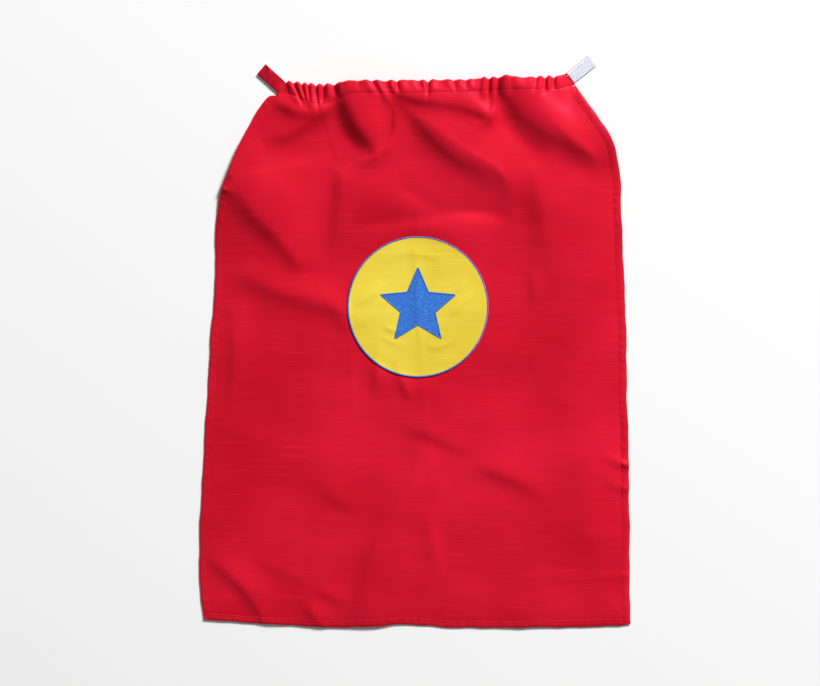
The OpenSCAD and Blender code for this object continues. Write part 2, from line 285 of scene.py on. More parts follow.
# Each fold is a crest line of listed stations: x, y, the crest's height, and how far the
# cloth falls away on the left-hand and on the right-hand side as the line runs.
FOLDS = {
    "lobe_under_the_left_gathers": [
        (-88, 338, 8.5, 40, 16), (-82, 312, 12, 42, 19), (-72, 288, 13, 38, 19),
        (-62, 268, 11, 28, 17), (-53, 251, 6, 20, 13), (-43, 236, 0, 14, 9),
    ],
    "foot_of_the_lobe": [
        (-28, 306, 0, 16, 5), (-25, 286, 3.2, 16, 5), (-28, 264, 4.0, 16, 6),
        (-40, 244, 3.6, 13, 6), (-60, 232, 3.0, 12, 6), (-82, 230, 0, 12, 6),
    ],
    "long_middle_ridge": [
        (-30, 316, 0, 20, 10), (-8, 298, 6, 46, 14), (20, 275, 12.5, 58, 17),
        (52, 250, 13.5, 62, 19), (86, 229, 11, 56, 22), (112, 211, 7, 36, 22),
        (126, 190, 3, 30, 20), (134, 172, 0, 30, 20),
    ],
    "sharp_crest_on_it": [
        (8, 288, 0, 5, 5), (34, 265, 1.6, 5, 4.5), (70, 240, 1.8, 5, 4.5), (104, 220, 1.4, 5, 4.5),
        (118, 200, 0, 5, 5),
    ],
    "brow_over_the_middle": [
        (-36, 324, 0, 10, 7), (-6, 313, 6, 13, 7), (34, 308, 9, 14, 8), (66, 301, 9.6, 14, 8.5),
        (88, 291, 6.6, 10, 7), (100, 284, 0, 8, 6),
    ],
    "curl_at_its_end": [
        (106, 314, 0, 8, 6), (100, 300, 4, 9, 5), (95, 288, 4.4, 9, 5), (84, 276, 2, 8, 6),
        (70, 272, 0, 8, 6),
    ],
    "long_right_ridge": [
        (118, 346, 5, 16, 14), (132, 326, 12, 18, 23), (150, 303, 15, 22, 28),
        (176, 280, 13.5, 26, 27), (204, 257, 9, 26, 22), (226, 238, 4.5, 24, 18),
        (240, 222, 0, 20, 18),
    ],
    "sharp_crest_beside_it": [
        (142, 314, 0, 7, 7), (160, 293, 2.2, 7, 7), (188, 269, 2.4, 7, 7), (214, 247, 1.8, 7, 7),
        (236, 230, 0, 7, 7),
    ],
    "hollow_at_its_foot": [
        (92, 318, 0, 14, 10), (104, 298, -3.0, 16, 14), (122, 272, -3.6, 18, 14),
        (148, 248, -2.4, 18, 14), (172, 232, 0, 16, 14),
    ],
    "right_edge_turned_up": [
        (204, 338, 0, 14, 16), (219, 320, 6, 14, 22), (236, 296, 10, 14, 28),
        (252, 270, 10.5, 14, 28), (264, 244, 7.5, 12, 24), (268, 214, 3, 12, 18),
        (268, 186, 0, 12, 14),
    ],
    "hollow_beside_the_lobe": [
        (-112, 332, 0, 12, 16), (-107, 306, -2.2, 12, 18), (-98, 280, -2.6, 12, 18),
        (-84, 256, -2.2, 10, 16), (-68, 238, 0, 10, 14),
    ],
    "swag_under_the_left_ruffles": [
        (-184, 318, 0, 12, 8), (-168, 303, 4.6, 13, 9), (-148, 294, 5.6, 12, 10),
        (-124, 296, 5.2, 12, 10), (-106, 309, 0, 10, 8),
    ],
    "left_slant": [
        (-98, 312, 0, 8, 12), (-118, 295, 4.6, 9, 13), (-142, 279, 6.6, 10, 16),
        (-168, 264, 5.6, 11, 19), (-194, 252, 0, 11, 20),
    ],
    "left_swell": [
        (-214, 292, 1, 46, 14), (-228, 250, 3, 50, 14), (-232, 214, 5, 54, 18),
        (-216, 184, 8, 54, 21), (-194, 158, 9, 54, 20), (-171, 132, 8, 48, 16),
        (-152, 106, 5, 40, 13), (-140, 88, 0, 34, 12),
    ],
    "broad_left": [
        (-196, 268, 0, 50, 30), (-198, 226, 3.5, 60, 30), (-190, 184, 3.5, 60, 30),
        (-170, 140, 0, 50, 30),
    ],
    "broad_middle": [
        (-96, 214, 0, 50, 30), (-56, 190, 2.8, 50, 30), (0, 168, 3.2, 50, 30),
        (60, 148, 2.6, 46, 30), (120, 138, 0, 40, 30),
    ],
    "broad_low_middle": [
        (-40, -70, 0, 60, 40), (20, -100, 2.2, 60, 40), (90, -130, 2.2, 60, 40),
        (150, -160, 0, 60, 40),
    ],
    "slant_towards_the_patch": [
        (-232, 102, 0, 30, 15), (-210, 84, 3.2, 28, 14), (-178, 67, 4.8, 26, 14),
        (-142, 57, 5, 24, 14), (-106, 46, 4.4, 20, 12), (-78, 33, 3, 16, 9), (-58, 24, 0, 12, 8),
    ],
    "short_line_under_it": [
        (-108, 26, 0, 8, 6), (-88, 22, 1.5, 8, 5), (-66, 24, 1.2, 8, 5), (-50, 30, 0, 8, 5),
    ],
    "pleat_beside_the_patch": [
        (-98, 224, 0, 40, 10), (-95, 214, 4.4, 44, 11), (-94, 186, 4.8, 46, 12),
        (-97, 154, 4.2, 44, 12), (-102, 124, 2.4, 36, 12), (-110, 92, 0, 30, 12),
    ],
    "dip_over_the_patch": [
        (-96, 148, 0, 9, 9), (-50, 151, -1.6, 10, 9), (0, 157, -2.2, 11, 9),
        (50, 166, -3.0, 11, 10), (92, 165, -2.6, 11, 10), (124, 154, 0, 10, 9),
    ],
    "faint_dip_above_it": [
        (-30, 206, 0, 12, 10), (-6, 190, -1.6, 14, 10), (20, 176, -1.8, 14, 10),
        (48, 170, 0, 12, 10),
    ],
    "right_swell": [
        (146, 232, 0, 50, 16), (156, 204, 4, 60, 18), (164, 168, 6.5, 66, 20),
        (172, 128, 6, 64, 22), (176, 88, 3, 60, 24), (176, 50, 0, 56, 24),
    ],
    "pucker_right_of_the_patch": [
        (148, 92, 0, 14, 7), (151, 76, 2, 16, 6), (150, 60, 1.6, 16, 6), (146, 48, 0, 14, 6),
    ],
    "puckers_under_the_patch": [
        (-46, 8, 0, 14, 6), (-47, -18, 3.2, 16, 7), (-49, -44, 3.0, 16, 7), (-52, -72, 0, 14, 6),
    ],
    "second_pucker": [
        (-30, -14, 0, 8, 4), (-23, -34, 2.4, 9, 5), (-15, -56, 2.2, 9, 5), (-6, -76, 0, 8, 4),
    ],
    "faint_knot": [
        (-20, -108, 0, 14, 6), (0, -113, 1.6, 18, 5), (24, -122, 2.2, 20, 5),
        (50, -132, 1.4, 20, 6), (76, -140, 0, 18, 6),
    ],
    "low_right_slant": [
        (68, -154, 0, 22, 10), (96, -163, 3.0, 26, 9), (124, -173, 3.4, 28, 9),
        (152, -186, 2.0, 28, 10), (176, -200, 0, 26, 10),
    ],
    "long_low_line": [
        (14, -122, 0, 34, 14), (8, -154, 3.4, 36, 13), (-12, -194, 4.4, 38, 14),
        (-36, -240, 4.6, 40, 15), (-54, -284, 4.4, 40, 15), (-66, -328, 3.0, 38, 15),
        (-72, -366, 1.0, 34, 15),
    ],
    "thin_low_line": [
        (10, -212, 0, 9, 12), (18, -240, 1.7, 9, 13), (26, -276, 1.7, 9, 14), (30, -312, 0, 9, 14),
    ],
    "short_left_line": [
        (-128, -190, 0, 18, 9), (-104, -198, 1.7, 20, 9), (-84, -208, 1.4, 20, 9),
        (-70, -218, 0, 18, 9),
    ],
    "corner_slant": [
        (-272, -268, 0, 18, 9), (-250, -287, 2.6, 20, 7), (-226, -308, 3.4, 22, 7),
        (-206, -332, 3, 22, 7), (-194, -356, 2, 20, 7),
    ],
    "corner_slant_beside_it": [
        (-206, -272, 0, 18, 8), (-178, -288, 1.5, 20, 8), (-150, -300, 1.2, 20, 8),
        (-128, -314, 0, 18, 8),
    ],
    "hem_pucker": [
        (-132, -312, 0, 10, 6), (-112, -323, 2, 12, 6), (-96, -331, 1.4, 12, 6),
        (-84, -338, 0, 10, 6),
    ],
    "hem_blister": [
        (-140, -332, 0, 12, 8), (-132, -346, 2.6, 13, 8), (-122, -360, 2, 12, 8),
        (-118, -372, 0, 10, 8),
    ],
    "left_side_roll": [
        (-236, 52, 0, 16, 9), (-230, 4, 2.0, 20, 9), (-232, -50, 2.0, 20, 10),
        (-240, -120, 0, 18, 12),
    ],
    "right_side_roll": [
        (222, -60, 0, 24, 24), (214, -130, 2.0, 26, 26), (220, -230, 2.0, 24, 24),
        (236, -330, 0, 20, 20),
    ],
    "pinch_in_the_right_hem": [
        (236, -144, 0, 6, 4), (250, -151, 1.6, 6, 3.6), (266, -157, 3.0, 6, 3.4),
        (284, -162, 3.0, 6, 3.4),
    ],
    "second_pinch": [
        (240, -176, 0, 6, 4), (256, -184, 1.2, 6, 3.6), (276, -190, 1.8, 6, 3.6),
    ],
    "left_hem_pinch": [
        (-226, 188, 0, 5, 4), (-240, 193, 2, 5, 4), (-256, 199, 2.4, 5, 4),
    ],
    "crease_across": [
        (-266, 42, 0.15, 4, 4), (-90, 37, 0.25, 4, 4), (90, 38, 0.25, 4, 4), (190, 41, 0.2, 4, 4),
        (268, 44, 0.5, 4, 4),
    ],
    "crease_near_the_hem": [
        (110, -303, 0, 4, 4), (190, -301, 0.6, 4, 4), (272, -299, 0.9, 4, 4),
    ],
    "crease_down_the_middle": [
        (5, 180, 0, 4, 4), (4, 130, 0.5, 4, 4), (4, 40, 0.5, 4, 4), (10, -60, 0.4, 4, 4),
        (18, -140, 0.3, 4, 4), (22, -200, 0, 4, 4),
    ],
    "crease_left_of_it": [
        (-84, 40, 0, 3.5, 4), (-83, -20, 0.4, 3.5, 4), (-82, -70, 0.35, 3.5, 4),
        (-80, -120, 0, 3.5, 4),
    ],
}


FOLD_LINES = [spline(stations) for stations in FOLDS.values()]
FOLD_BREADTH = 1.6  # how far a crest stays round, in the fold's widths
FOLD_STEEPNESS = 2.4  # how fast its sides fall away beyond that
TAIL_FROM, TAIL_TO = 1.9, 3.2  # its tail dies out between these, in its widths
SHARED_REACH = 2.5  # two stretches of a bent crest share a point over this length


def ridge(x, y, line):
    """Height that one fold adds: it falls away from its crest in a long, soft tail on each side."""
    height = np.zeros(x.shape)
    reach = TAIL_TO * line[:, 3:].max()
    low, high = line[:, :2].min(0) - reach, line[:, :2].max(0) + reach
    near = (x > low[0]) & (x < high[0]) & (y > low[1]) & (y < high[1])
    if not near.any():
        return height
    starts, parts = line[:-1], np.diff(line, axis=0)
    dx, dy = x[near][:, None] - starts[:, 0], y[near][:, None] - starts[:, 1]
    t = np.clip((dx * parts[:, 0] + dy * parts[:, 1]) / (parts[:, 0] ** 2 + parts[:, 1] ** 2), 0, 1)
    far = np.hypot(dx - t * parts[:, 0], dy - t * parts[:, 1])
    closest = far.min(1, keepdims=True)
    # the nearest stretches share a point between them, so that a bent fold has no step inside it
    share = np.exp(-(far - closest) / SHARED_REACH)
    share /= share.sum(1, keepdims=True)
    side = np.tanh((share * np.sign(parts[:, 0] * dy - parts[:, 1] * dx)).sum(1) * 3)
    crest, left, right = [(share * (starts[:, i] + t * parts[:, i])).sum(1) for i in (2, 3, 4)]
    width = 0.5 * (left + right) + 0.5 * side * (left - right)
    closest = closest[:, 0]
    tail = 1 - smooth(TAIL_FROM * width, TAIL_TO * width, closest)
    height[near] = crest * tail / (1 + (closest / (FOLD_BREADTH * width)) ** 2) ** FOLD_STEEPNESS
    return height


# The gathers, as they lie along the neck from a point left of its middle: place on the top edge,
# half width, rise or dip, how far each runs down from the top edge, and how far it slants to the
# right on its way.
GATHERS_FROM = -12.8
GATHERS = [
    (-176, 4, 1.6, 20, 2), (-170, 3, -1.4, 24, 10), (-164, 4.2, 3.6, 34, 17),
    (-157, 2.2, -3.0, 36, 15), (-151, 3.2, 3.2, 30, 9), (-146.5, 1.8, -3.2, 38, 9),
    (-142, 2.4, 3.4, 34, 3), (-138, 1.8, -2.2, 28, 2), (-134, 3.0, 3.2, 36, 0),
    (-128, 1.9, -3.4, 40, 3), (-123.5, 3.2, 3.4, 34, -4), (-118, 1.8, -2.8, 30, -3),
    (-113, 3.4, 3.2, 24, 2), (-105, 3, -2.6, 20, 4), (-98, 3.5, 1.8, 22, 3), (-88, 5, 1.4, 20, 2),
    (-74, 3, -1.6, 18, 3), (-64, 4, 2.4, 24, 10), (-57, 3, -1.6, 22, 12), (-50, 4, 3.0, 34, 16),
    (-40, 4, -1.2, 18, 5), (-32, 3, 2.4, 16, 2), (-25, 2.4, -3.2, 20, 3), (-17, 4, 1.4, 17, 3),
    (-6, 4, 0.9, 16, 6), (2, 3, -1.2, 16, 5), (9, 3, 2.0, 18, 5), (15, 2.4, -4.2, 32, -1),
    (22, 3, 2.8, 18, -2), (31, 5, -0.9, 16, 4), (40, 4, 1.2, 15, 5), (48, 2.2, -2.4, 19, 2),
    (56, 3, 1.4, 15, 0), (63, 2.4, -1.2, 16, 1), (70, 3, 1.8, 18, 0), (80, 4, 0.9, 18, -5),
    (87, 3, 3.4, 30, -3), (93, 2.6, -3.2, 34, -2), (99, 3, 1.6, 30, -3), (105, 3.4, -2.4, 30, -4),
    (115, 5, 4.6, 32, -2), (126, 4, 1.6, 20, 4), (136, 4, -1.0, 18, 5), (146, 4, 1.0, 16, -3),
    (153, 2.4, -2.4, 24, -5), (159, 2.8, 2.8, 26, -4), (165, 2.2, -3.2, 26, -4),
    (170, 2.6, 3.4, 20, -2), (176, 2.2, -2.8, 20, -2), (181, 3, 1.6, 18, 0),
]
GATHERS_SHARE = 0.8  # the gathers stand at this share of the rises above
GATHERS_LIFT = 3.0  # the gathered cloth as a whole lies this much higher
LIFT_FADES = (10, 46)  # which dies out between these, down from the top edge


def gather(u, down):
    """Rise of the gathers at u along the neck, and so far down from the top edge."""
    total = np.zeros(np.broadcast(u, down).shape)
    for place, half, rise, length, slant in GATHERS:
        slid = u - place - GATHERS_FROM - slant * np.clip(down / length, 0, 1.5)
        spread = half * (1 + 0.35 * np.clip(down / length, 0, 2))
        fade = 1 - smooth(0.5 * length, 1.05 * length, down)
        total = total + GATHERS_SHARE * rise * fade * np.exp(-((slid / spread) ** 2))
    return total


def waver(x, y, wave, seed):
    """A smooth, irregular unevenness, from a few crossing waves."""
    turn = 0.9 * seed
    return (
        np.sin((x * math.cos(turn) + y * math.sin(turn)) / wave + seed)
        * np.sin((y * math.cos(turn) - x * math.sin(turn)) / (1.3 * wave) + 2.1 * seed)
        + 0.5 * np.sin((x + 0.6 * y) / (0.61 * wave) + 3.7 * seed)
        * np.sin((0.7 * x - y) / (0.73 * wave) + 5.3 * seed)
    )


patch_low, patch_high = mm(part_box("emblem_border")[0]), mm(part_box("emblem_border")[1])
emblem_mid = (patch_low + patch_high)[:2] / 2
emblem_r = (patch_high[0] - patch_low[0]) / 2
CLOTH_REST = 0.9  # height of the cloth's edges, and how much higher it lies away from them
CLOTH_LOFT = 3.8
LOFT_REACH = 18
WAVERS = [(0.8, 41, 1.0), (0.22, 15, 2.0)]  # height, length and seed of the cloth's faint waves
PATCH_FLATTENS = 0.75  # share of the folds' height that the patch takes away under it
PATCH_INSIDE, PATCH_OUTSIDE = 8, 14  # its hold on the cloth dies out between these, across its edge
HEAP_FROM = 13.5  # above this height, folds that add up are pressed lower by their own weight
HEAP_ROOM = 6.0
END_EASE = 16  # the gathers reach their height over this length from the casing's ends
END_ROOM = {-1: 4.8, 1: 6.0}  # the ends lie no higher, so that the tabs can fold over them
ROOM_ALONG, ROOM_DOWN = 0.26, 0.3  # rise of that room for each mm along the neck and below the casing
SHEET_LOWEST = 0.7
SHEET_EASE = 1.6  # how sharply the cloth rounds off onto the floor


def lift(x, y):
    """Height of the satin's middle above the floor."""
    height = CLOTH_REST + CLOTH_LOFT * (1 - np.exp(-inland(x, y) / LOFT_REACH))
    for rise, wave, seed in WAVERS:
        height = height + rise * waver(x, y, wave, seed)
    for line in FOLD_LINES:
        height = height + ridge(x, y, line)
    # the stiffened patch holds the cloth nearly flat
    from_emblem = np.hypot(x - emblem_mid[0], y - emblem_mid[1])
    under_patch = 1 - smooth(emblem_r - PATCH_INSIDE, emblem_r + PATCH_OUTSIDE, from_emblem)
    height = height + under_patch * PATCH_FLATTENS * (CLOTH_REST + CLOTH_LOFT - height)
    u, v = to_neck(x, y)
    down = CASING_H / 2 - v
    raised = GATHERS_LIFT * (1 - smooth(*LIFT_FADES, down)) + gather(u, down)
    from_end = neck_half - np.abs(u) + 0.25 * np.clip(down - CASING_H, 0, 60)
    height = height + raised * smooth(0, END_EASE, from_end)
    over = np.clip(height - HEAP_FROM, 0, None)
    height = np.minimum(height, HEAP_FROM) + HEAP_ROOM * (1 - np.exp(-over / HEAP_ROOM))
    end_room = np.where(u < 0, END_ROOM[-1], END_ROOM[1]) + ROOM_ALONG * np.clip(from_end, 0, None)
    end_room = end_room + ROOM_DOWN * np.clip(down - CASING_H, 0, None)
    height = np.minimum(height, end_room)
    eased = np.clip((height - SHEET_LOWEST) * SHEET_EASE, -30, 60)
    return SHEET_LOWEST + np.log1p(np.exp(eased)) / SHEET_EASE


def with_height(plan, height):
    """Points in plan, given their heights."""
    return np.concatenate([plan, np.broadcast_to(height, plan.shape[:-1])[..., None]], -1)


def grid_faces(rows, columns, closed=False):
    """Faces between rows of points. In a closed grid each row's last point joins its first."""
    faces = []
    last = columns if closed else columns - 1
    for r in range(rows - 1):
        for c in range(last):
            d = (c + 1) % columns
            faces.append((r * columns + c, r * columns + d, (r + 1) * columns + d, (r + 1) * columns + c))
    return faces


def add_uv(piece, coordinates):
    """Lays the UV map "cut" on a mesh, in metres on the flat cloth, from one pair for each vertex."""
    layer = piece.data.uv_layers.new(name="cut")
    corner = np.zeros(len(piece.data.loops), int)
    piece.data.loops.foreach_get("vertex_index", corner)
    metres = np.asarray(coordinates) * MM
    layer.data.foreach_set("uv", metres.astype(np.float32)[corner].ravel())


def apply_modifiers(piece):
    """Turns a piece's modifiers into its plain mesh."""
    bpy.context.view_layer.update()
    graph = bpy.context.evaluated_depsgraph_get()
    shaped = piece.evaluated_get(graph)
    mesh = bpy.data.meshes.new_from_object(shaped, preserve_all_data_layers=True, depsgraph=graph)
    piece.modifiers.clear()
    old = piece.data
    piece.data = mesh
    mesh.name = piece.name
    bpy.data.meshes.remove(old)


def repeat(across, down):
    """A Mapping node's scale, from the size of a pattern's features across the cape and down it."""
    return (1 / (across * MM), 1 / (down * MM), 1)


# Polyester satin: long floats of bright filament yarn make it smooth, with a wide, soft gloss in
# the yarn's own colour that is a little wider across the cape than down it. It shows faint streaks
# and slubs along the weft and small, shallow crinkles. The weave itself is finer than can be seen,
# so its floats are drawn 2 to 3 times as coarse, 2 mm by 1 mm.
CRINKLE_H = 0.3


def satin(name, deep, mid, gloss_colour):
    material, tree, shader = new_material(name)
    flat = {"noise_dimensions": "2D", "Scale": 1.0}
    uv = add_node(tree, "ShaderNodeUVMap", {"uv_map": "cut"}).outputs["UV"]
    streak_map = add_node(tree, "ShaderNodeMapping", {"Scale": repeat(80, 4)}, Vector=uv)
    streaks = add_node(
        tree, "ShaderNodeTexNoise", {**flat, "Detail": 2.0}, Vector=streak_map.outputs["Vector"]
    )
    cloud = add_node(
        tree, "ShaderNodeTexNoise", {**flat, "Scale": 1 / (140 * MM), "Detail": 2.0}, Vector=uv
    )
    blend = add_node(
        tree, "ShaderNodeMath", {"operation": "MULTIPLY_ADD", 1: 0.2},
        n0=streaks.outputs["Fac"], n2=cloud.outputs["Fac"],
    )
    # a slub is a thicker stretch of a weft yarn, which shows as a thin pale line across
    slub_map = add_node(tree, "ShaderNodeMapping", {"Scale": repeat(75, 2)}, Vector=uv)
    slub_noise = add_node(
        tree, "ShaderNodeTexNoise", {**flat, "Detail": 0.0}, Vector=slub_map.outputs["Vector"]
    )
    slubs = add_node(
        tree, "ShaderNodeMapRange", {"From Min": 0.74, "From Max": 0.92, "To Min": 0.0, "To Max": 0.5},
        Value=slub_noise.outputs["Fac"],
    )
    shade = add_node(
        tree, "ShaderNodeMath", {"operation": "ADD"}, n0=blend.outputs["Value"], n1=slubs.outputs["Result"]
    )
    ramp = add_node(tree, "ShaderNodeValToRGB", Fac=shade.outputs["Value"])
    ramp.color_ramp.elements[0].position = 0.34
    ramp.color_ramp.elements[0].color = linear(deep)
    ramp.color_ramp.elements[1].position = 0.86
    ramp.color_ramp.elements[1].color = linear(mid)
    tree.links.new(ramp.outputs["Color"], shader.inputs["Base Color"])
    weave_map = add_node(tree, "ShaderNodeMapping", {"Scale": repeat(2, 1)}, Vector=uv)
    weave = add_node(
        tree, "ShaderNodeTexNoise", {**flat, "Detail": 1.0}, Vector=weave_map.outputs["Vector"]
    )
    bump = add_node(
        tree, "ShaderNodeBump", {"Strength": 0.1, "Distance": 0.4 * MM}, Height=weave.outputs["Fac"]
    )
    crinkles = add_node(
        tree, "ShaderNodeTexNoise", {**flat, "Scale": 1 / (31 * MM), "Detail": 1.5}, Vector=uv
    )
    crinkled = add_node(
        tree, "ShaderNodeBump", {"Strength": 1.0, "Distance": CRINKLE_H * MM},
        Height=crinkles.outputs["Fac"], Normal=bump.outputs["Normal"],
    )
    tree.links.new(crinkled.outputs["Normal"], shader.inputs["Normal"])
    tangent = add_node(tree, "ShaderNodeTangent", {"direction_type": "UV_MAP", "uv_map": "cut"})
    tree.links.new(tangent.outputs["Tangent"], shader.inputs["Tangent"])
    for socket, value in {
        "Roughness": 0.46, "IOR": 1.54, "Specular IOR Level": 0.16, "Specular Tint": linear(gloss_colour),
        "Anisotropic": 0.4, "Sheen Weight": 0.04, "Sheen Roughness": 0.4, "Sheen Tint": linear(gloss_colour),
    }.items():
        shader.inputs[socket].default_value = value
    return material


red_satin = satin("red polyester satin", "#C81225", "#DC1A33", "#FF7FB4")

PANEL_COLUMNS = 250
PANEL_ROWS = 190
ROW_CROWDING = 1.35  # rows lie closer together towards the gathers
HEM_OVERLAP = 4.5  # the sheet's edge lies inside its hems
BOTTOM_OVERLAP = 0.005  # the same at the bottom, as a share of the cut's length
s_line = np.linspace(0, 1, PANEL_COLUMNS)
t_line = 1 - (1 - np.linspace(0, 1, PANEL_ROWS)) ** ROW_CROWDING
s_grid, t_grid = np.meshgrid(s_line, t_line)
margin = HEM_OVERLAP / (hem_high[0] - hem_low[0])
plan = on_sheet(margin + s_grid * (1 - 2 * margin), BOTTOM_OVERLAP + (1 - BOTTOM_OVERLAP) * t_grid)
heights = lift(plan[..., 0], plan[..., 1])
# the top rows run on up inside the casing
HIDDEN_ROWS = 3
HIDDEN_STEP = 1.3
HIDDEN_FALL = 0.45
inside_rows = np.arange(1, HIDDEN_ROWS + 1)[:, None]
top_u, top_v = to_neck(plan[-1, :, 0], plan[-1, :, 1])
hidden = neck_point(top_u, top_v + HIDDEN_STEP * inside_rows)
plan = np.concatenate([plan, hidden])
heights = np.concatenate([heights, np.maximum(heights[-1] - HIDDEN_FALL * inside_rows, CLOTH_T)])
s_grid = np.concatenate([s_grid, s_grid[:HIDDEN_ROWS]])
t_grid = np.concatenate([t_grid, t_grid[-1:] + HIDDEN_STEP / CUT_LENGTH * inside_rows])
panel = mesh_object(
    "satin_panel", with_height(plan, heights).reshape(-1, 3), grid_faces(len(plan), PANEL_COLUMNS)
)
add_uv(panel, np.stack([s_grid.ravel() * CUT_WIDTH, t_grid.ravel() * CUT_LENGTH], 1))
wall = panel.modifiers.new("wall", "SOLIDIFY")
wall.thickness = CLOTH_T * MM
wall.offset = 0
apply_modifiers(panel)
panel.data.materials.append(red_satin)
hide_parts("upper_panel", "lower_panel")
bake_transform(panel)


# ---------------------------------------------------------------- hems
# The raw edges are turned under twice and pressed, which leaves a soft roll along the edge
# and a groove where the stitching draws the layers together.
STITCH_SHARE = 0.76
GROOVE = 0.46
PUCKER = 0.32
PUCKER_REACH = 0.4  # in the hem's widths, on either side of the stitching
# Each pair is a share of the hem's width in from the edge, and a height above the cloth's middle.
HEM_SECTION = [
    (0.0, 0.1), (0.03, 0.5), (0.12, 0.78), (0.34, 0.88), (0.56, 0.82), (0.68, 0.68), (STITCH_SHARE, GROOVE),
    (0.83, 0.62), (0.91, 0.64), (0.98, 0.56), (1.0, 0.1), (0.96, -0.3), (0.6, -0.5), (0.2, -0.6),
    (0.04, -0.45),
]
HEM_STEP = 1.6
HEM_EDGE_WAVE = 0.3
HEM_SUNK = 0.3  # at its upper end a side hem keeps this share of its height
HEM_SINKS = (16, 2)  # and sinks to it between these, short of that end
HEM_LOWEST = 0.05
LEFT_HEM_W = 8.0
RIGHT_HEM_W = 10.0
BOTTOM_HEM_W = 8.5


def pucker(at):
    """The stitching draws a hem into small, uneven puckers along its length."""
    strength = 0.55 + 0.45 * np.sin(at / 37.0 + 2.0 * np.sin(at / 90.0))
    return strength * np.sin(at / 1.9 + 2.2 * np.sin(at / 11.0))


def hem_path(path, inward_turn):
    """Points along a hem, how far along it each is, and the way into the cloth from each."""
    path, at = evenly(path, HEM_STEP)
    tangent = np.gradient(path, axis=0)
    tangent = tangent / np.linalg.norm(tangent, axis=1, keepdims=True)
    return path, at, inward_turn * np.stack([-tangent[:, 1], tangent[:, 0]], 1)


def tube(name, rings, inside_out=False):
    """A closed strip from an array of rings of points, with a cap at each end."""
    count, around = rings.shape[:2]
    faces = grid_faces(count, around, closed=True)
    faces.append(tuple(range(around)))
    faces.append(tuple((count - 1) * around + i for i in reversed(range(around))))
    if inside_out:
        faces = [tuple(reversed(f)) for f in faces]
    return mesh_object(name, rings.reshape(-1, 3), faces)


def hem(name, path, inward_turn, width, sinks):
    """A turned hem along a path in plan. inward_turn is 1 if its inner side is on the path's left."""
    path, at, inward = hem_path(path, inward_turn)
    share, rise = np.array(HEM_SECTION).T
    edge_wave = HEM_EDGE_WAVE * np.sin(at / 5.3) * np.sin(at / 17.0)
    across = share[None, :] * width + (edge_wave[:, None] * (1 - share)[None, :])
    place = path[:, None, :] + across[..., None] * inward[:, None, :]
    middle = lift(place[..., 0], place[..., 1])
    # at its upper end a side hem sinks into the cloth, under the casing
    sink_from, sink_to = HEM_SINKS
    kept = HEM_SUNK + (1 - HEM_SUNK) * smooth(sink_to, sink_from, at[-1] - at) if sinks else np.ones(len(at))
    drawn = PUCKER * (kept * pucker(at))[:, None] * np.exp(-(((share - STITCH_SHARE) / PUCKER_REACH) ** 2))
    height = np.maximum(middle + np.where(rise > 0, rise * (1 + drawn) * kept[:, None], rise), HEM_LOWEST)
    piece = tube(name, with_height(place, height), inside_out=inward_turn > 0)
    add_uv(piece, np.stack([np.tile(share * width, len(path)), np.repeat(at, len(share))], 1))
    piece.data.materials.append(red_satin)
    return piece


left_hem = hem("left_hem", EDGE[-1], -1, LEFT_HEM_W, sinks=True)
right_hem = hem("right_hem", EDGE[1], 1, RIGHT_HEM_W, sinks=True)
bottom_hem = hem("bottom_hem_roll", bottom_line, 1, BOTTOM_HEM_W, sinks=False)
for piece, side in ((left_hem, "left"), (right_hem, "right")):
    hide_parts(f"{side}_hem_upper", f"{side}_hem_lower")
    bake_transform(piece)
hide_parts("bottom_hem")
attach(bottom_hem, "lower_cape")


# ---------------------------------------------------------------- neck casing
# The top edge is turned over into a tunnel for the elastic, which gathers it. The gathers are
# tight at the two ends and flatter in the middle, and each end is drawn in flat round its tab.
CASING_STEP = 0.8
FRONT_POINTS = 20
BACK_POINTS = 7
CASING_BACK = 0.35
CASING_LOWEST = 3.2
SEAM_UP = 1.6  # the seam lies this far above the casing's lower edge
SEAM_DROP = 8.0
SEAM_GROOVE, SEAM_GROOVE_W = 0.4, 1.2
LOWER_EDGE, LOWER_EDGE_W = 0.6, 0.7  # the casing dips into the panel along its lower edge
PUFF = 0.45
LAYER_T = 0.15
MEET_SHARE = 0.42  # the front and the back meet at this share of the casing's height
CUT_STEP = 1.2  # round the casing, between points of the cut
FOLD_OVER = 0.84  # above this share of its height the front rounds over to the back


def top_edge(u):
    """How far the casing's top edge stands up above its line, where gathers push it up."""
    return 0.65 * gather(u, np.zeros(np.shape(u))) + 0.7 * np.sin(u / 13.0) * np.sin(u / 31.0)


def seam_shows(u):
    """How clearly the casing's stitching shows: it is lost in the ruffles at the two ends."""
    at_right_end = smooth(neck_half - 12, neck_half, u)
    return smooth(-112, -96, u) * (1 - 0.8 * at_right_end) * (0.7 + 0.3 * np.sin(u / 17.0))


def seam_drop(u):
    """How much further down the seam lies where the ruffles at the left are pushed together."""
    return SEAM_DROP * np.exp(-(((u + 134) / 24) ** 2))


